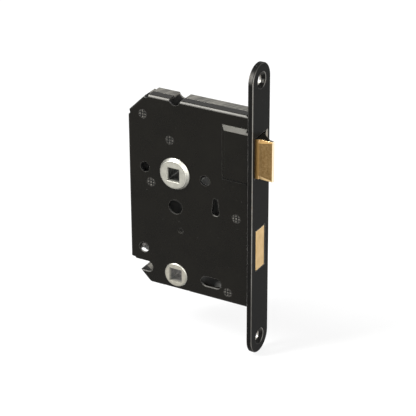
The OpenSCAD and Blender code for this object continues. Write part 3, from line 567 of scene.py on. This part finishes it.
def wire(name, path, radius, axis, node, sides=14):
    """Round wire along a run of points in millimetres; axis is the line that its turns go round"""
    bm = bmesh.new()
    angles = [2 * math.pi * k / sides for k in range(sides)]
    rings = []
    for i, point in enumerate(path):
        along = (path[min(i + 1, len(path) - 1)] - path[max(i - 1, 0)]).normalized()
        u = along.cross(Vector(axis)).normalized()
        v = u.cross(along)
        ring = [point + radius * (math.cos(a) * u + math.sin(a) * v) for a in angles]
        rings.append([bm.verts.new(place * MM) for place in ring])
    for a, b in zip(rings, rings[1:]):
        for k in range(sides):
            bm.faces.new((a[k], b[k], b[(k + 1) % sides], a[(k + 1) % sides]))
    bm.faces.new(rings[0])
    bm.faces.new(list(reversed(rings[-1])))
    bmesh.ops.recalc_face_normals(bm, faces=bm.faces)
    for face in bm.faces:
        face.smooth = len(face.verts) == 4
    mesh = bpy.data.meshes.new(name)
    bm.to_mesh(mesh)
    bm.free()
    mesh.materials.append(spring_steel)
    piece = bpy.data.objects.new(name, mesh)
    scene.collection.objects.link(piece)
    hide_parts(node)
    return piece


# Degrees between a coil's points
TURN_STEP = 10


def circled(x, y, z, radius, degrees):
    """A point on an upright circle round (x, z), seen from the near side"""
    angle = math.radians(degrees)
    return Vector((x + radius * math.cos(angle), y, z + radius * math.sin(angle)))


def turns(x, z, radius, start, sweep, y0, y1):
    """A helix round an axis along y, clockwise from the near side"""
    steps = round(sweep / TURN_STEP)
    shares = [i / steps for i in range(steps + 1)]
    return [circled(x, y0 + (y1 - y0) * share, z, radius, start - sweep * share) for share in shares]


def between(a, b, shares):
    """Points on the straight run from a to b"""
    return [a + (b - a) * share for share in shares]


def latch_coil():
    """The latch's spring, ten turns round its strip"""
    front_x, rear_x, anchor_x, radius, wire_r, count = -8.55, -31.85, -32.4, 4, 0.45, 10
    steps = 360 // TURN_STEP * count
    angles = [math.radians(TURN_STEP * i) for i in range(steps + 1)]
    run = [Vector((rear_x + (front_x - rear_x) * i / steps, radius * math.cos(angle),
                   LATCH_Z + radius * math.sin(angle))) for i, angle in enumerate(angles)]
    piece = wire("latch_coil", run, wire_r, (1, 0, 0), "latch_spring")
    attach(piece, "case")
    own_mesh(piece)


def follower_hairpin():
    """The follower's spring: a hook in the case's back, four turns round the third pillar, and a leg that
    lies on the round nose of the follower"""
    # The pillar's place from the spindle
    behind, under = 15.2, 8.4
    nose_reach, nose_angle, nose_r, wire_r, clear = 11.2, math.radians(200), 1.3, 0.6, 0.2
    hook_x, hook_y, leg_y, radius, leg = BACK_X + 0.4, -4.1, 2.9, 3.8, 10
    x, z = SPINDLE_X - behind, HANDLE_Z - under
    nose = Vector((nose_reach * math.cos(nose_angle) + behind, nose_reach * math.sin(nose_angle) + under))
    over = math.acos((radius + nose_r + wire_r + clear) / nose.length)
    leave = math.degrees(math.atan2(nose[1], nose[0]) + over)
    start = circled(x, leg_y, z, radius, leave)
    end = start + leg * Vector((math.sin(math.radians(leave)), 0, -math.cos(math.radians(leave))))
    hook = between(Vector((hook_x, hook_y, z + radius)), Vector((x - 2 * wire_r, hook_y, z + radius)),
                   (0, 0.2, 0.4, 0.6, 0.8, 1))
    coil = turns(x, z, radius, 90, 4 * 360 + 90 - leave, hook_y, leg_y)
    run = hook + coil + between(start, end, (0.1, 0.2, 0.35, 0.5, 0.75, 1))
    piece = wire("follower_hairpin", run, wire_r, (0, 1, 0), "follower_spring")
    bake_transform(piece)


def detent_torsion():
    """The privacy hub's spring: a hook in the case's back, two turns round its post, a leg on the cam"""
    # The post's place from the privacy spindle, and the tip's
    behind, over, tip_ahead, tip_over = 22.3, 12.8, 4.5, 6.95
    x, z = SPINDLE_X - behind, PRIVACY_Z + over
    tip_x, tip_z = SPINDLE_X + tip_ahead, PRIVACY_Z + tip_over
    hook_x, hook_y, leg_y, radius, wire_r = BACK_X + 1.3, 0.6, 4.25, 2.6, 0.5
    reach = Vector((tip_x - x, tip_z - z))
    drop = math.degrees(math.asin(radius / reach.length) - math.atan2(reach[1], reach[0]))
    start = circled(x, leg_y, z, radius, 90 - drop)
    tip = Vector((tip_x, leg_y, tip_z))
    hook = between(Vector((hook_x, hook_y, z + radius)), Vector((x - 2 * wire_r, hook_y, z + radius)),
                   (0, 0.25, 0.5, 0.75, 1))
    coil = turns(x, z, radius, 90, 2 * 360 + drop, hook_y, leg_y)
    run = hook + coil + between(start, tip, (0.05, 0.2, 0.4, 0.6, 0.8, 1))
    piece = wire("detent_torsion", run, wire_r, (0, 1, 0), "detent_spring")
    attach(piece, "case")


# Springs as smooth round wire, on the same runs as the solids they stand for
latch_coil()
follower_hairpin()
detent_torsion()


def make_floor():
    """A white floor just under the lock. A fifth of it still takes light, which leaves a faint shadow"""
    half_width, gap = 6, 0.5 * MM
    mesh = bpy.data.meshes.new("floor")
    bm = bmesh.new()
    bmesh.ops.create_grid(bm, x_segments=1, y_segments=1, size=half_width)
    bm.to_mesh(mesh)
    bm.free()
    floor = bpy.data.objects.new("floor", mesh)
    floor.location = (0, 0, cad_box[0][2] - gap)
    scene.collection.objects.link(floor)
    n = Nodes(bpy.data.materials.new("floor"))
    paper, glow = n.tree.nodes["Principled BSDF"], n.add("ShaderNodeEmission")
    for socket, value in ((paper.inputs["Base Color"], (0.8, 0.8, 0.8)), (paper.inputs["Roughness"], 0.9),
                          (glow.inputs["Strength"], 1.0)):
        n.feed(socket, value)
    n.show_white(paper, glow, "Material Output", share=0.8)
    mesh.materials.append(n.owner)


def make_world():
    """Even grey light from all round, which shows itself white"""
    n = Nodes(bpy.data.worlds.new("studio"))
    usual, white = n.tree.nodes["Background"], n.add("ShaderNodeBackground")
    for background, grey, strength in ((usual, 0.5, 0.8), (white, 1.0, 1.0)):
        n.feed(background.inputs["Color"], (grey, grey, grey))
        n.feed(background.inputs["Strength"], strength)
    n.show_white(usual, white, "World Output")
    scene.world = n.owner


def softbox(name, direction, distance, size, power):
    """A lamp that stands off from the lock's middle and faces it; size is its width and height"""
    middle = Vector((-0.035, 0, 0))
    lamp = bpy.data.lights.new(name, "AREA")
    lamp.shape = "RECTANGLE"
    lamp.size, lamp.size_y = size
    lamp.energy = power
    obj = bpy.data.objects.new(name, lamp)
    obj.location = middle + Vector(direction).normalized() * distance
    obj.rotation_euler = (middle - obj.location).to_track_quat("-Z", "Y").to_euler()
    scene.collection.objects.link(obj)


make_floor()
make_world()
softbox("key", (-0.43, -0.45, 0.75), 1.3, (0.3, 1.1), 34)
softbox("strip", (0.8, -0.43, 0.12), 1.2, (0.3, 1.1), 6)
softbox("top", (0.1, 0.3, 1.0), 1.5, (1.0, 0.8), 3)
softbox("corner", (0.62, -0.36, 0.6), 1.4, (0.4, 0.4), 4)
softbox("front", (0.5, -0.85, 0.45), 1.4, (0.5, 0.5), 4)
softbox("rear", (0.5, 0.85, 0.35), 1.4, (0.6, 0.8), 4)
